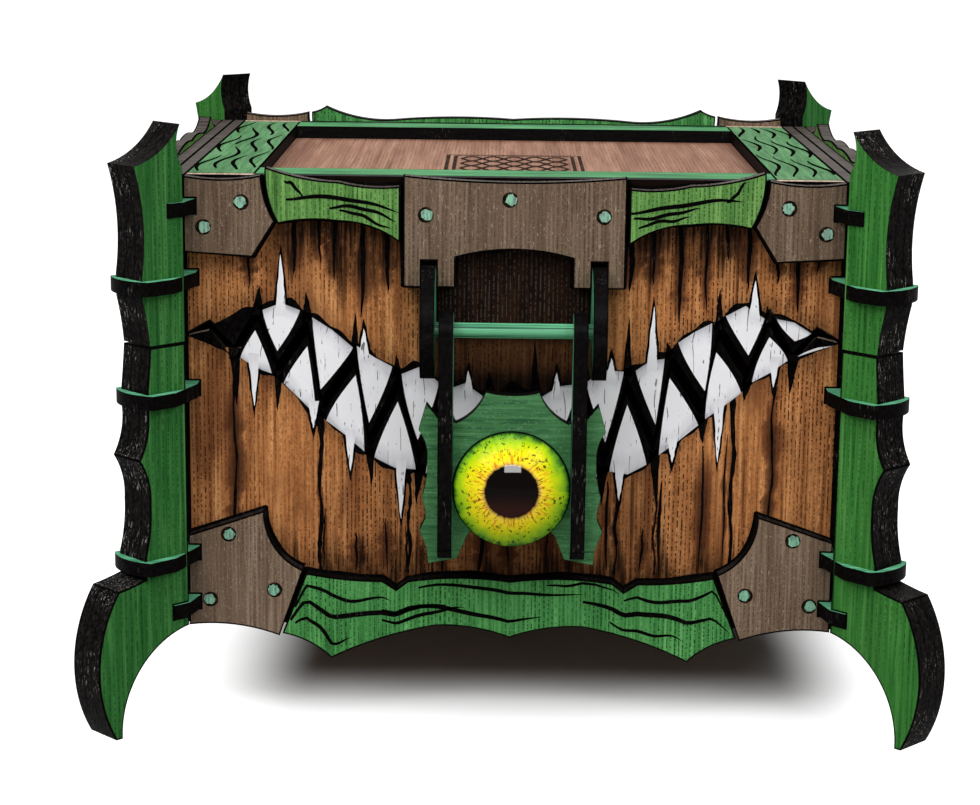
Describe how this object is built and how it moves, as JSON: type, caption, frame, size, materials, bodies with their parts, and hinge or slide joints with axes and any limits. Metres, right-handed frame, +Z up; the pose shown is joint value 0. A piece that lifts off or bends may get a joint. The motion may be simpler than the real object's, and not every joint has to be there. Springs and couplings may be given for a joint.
{
  "type": "fantasy treasure chest",
  "caption": "Plywood chest on clawed corner posts with a hinged lid parting along a toothed mouth, held by a swinging hasp that carries a glass eye.",
  "frame": {"origin": "on the ground under the middle of the chest", "axes": "+X to the right seen from the front, +Y towards the hinges, +Z up; the hasp faces -Y"},
  "size_m": [0.2302, 0.2142, 0.1612],
  "materials": {
    "brown_plank": "stained plank-scored plywood, satin",
    "green_post": "green stain on plywood, satin",
    "green_strip": "light green stain, engraved, satin",
    "teal_sheet": "teal stain, charred edges",
    "grey_bracket": "grey-brown stain, charred edges",
    "plain_ply": "thin brown stain on plywood",
    "charred_ply": "dark stained plywood with charred edges",
    "steel_pin": "plain drawn wire",
    "eye_glass": "clear glass dome over a coloured iris"
  },
  "bodies": {
    "base": {"base_back": "brown_plank", "base_back_brackets": "grey_bracket", "base_back_strip": "green_strip", "base_floor": "plain_ply", "base_front": "brown_plank", "base_front_brackets": "grey_bracket", "base_front_strip": "green_strip", "base_left_brackets": "grey_bracket", "base_left_strip": "green_strip", "base_planks_left": "brown_plank", "base_planks_right": "brown_plank", "base_post_back_left": "green_post", "base_post_back_right": "green_post", "base_post_front_left": "green_post", "base_post_front_right": "green_post", "base_right_brackets": "grey_bracket", "base_right_strip": "green_strip", "base_side_left": "plain_ply", "base_side_right": "plain_ply", "foot_keys": "teal_sheet", "hinge_base_knuckles": "charred_ply", "hinge_pins": "steel_pin", "latch_rest": "charred_ply", "low_collars": "teal_sheet", "mid_collars": "teal_sheet"},
    "lid": {"lid_back": "brown_plank", "lid_back_brackets": "grey_bracket", "lid_back_strip": "green_strip", "lid_centre_plate": "grey_bracket", "lid_collars": "teal_sheet", "lid_front": "brown_plank", "lid_front_brackets": "grey_bracket", "lid_front_strips": "green_strip", "lid_keys": "teal_sheet", "lid_left_brackets": "grey_bracket", "lid_left_strip": "green_strip", "lid_planks_left": "brown_plank", "lid_planks_right": "brown_plank", "lid_post_back_left": "green_post", "lid_post_back_right": "green_post", "lid_post_front_left": "green_post", "lid_post_front_right": "green_post", "lid_rail_back": "teal_sheet", "lid_rail_front": "teal_sheet", "lid_right_brackets": "grey_bracket", "lid_right_strip": "green_strip", "lid_side_left": "plain_ply", "lid_side_right": "plain_ply", "lid_strip_left": "green_strip", "lid_strip_right": "green_strip", "lid_top": "plain_ply", "latch_ears": "charred_ply", "latch_pivot": "teal_sheet", "hinge_lid_knuckles": "charred_ply"},
    "latch": {"latch_arm_left": "charred_ply", "latch_arm_right": "charred_ply", "latch_plate": "teal_sheet", "latch_eye": "eye_glass"}
  },
  "joints": [
    {"name": "lid_hinge", "type": "hinge", "parent": "base", "child": "lid", "pos_m": [0, 0.097, 0.104], "axis": [-1, 0, 0], "range_deg": [0, 100]},
    {"name": "latch_hinge", "type": "hinge", "parent": "lid", "child": "latch", "pos_m": [0, -0.088, 0.1085], "axis": [-1, 0, 0], "range_deg": [0, 165]}
  ]
}
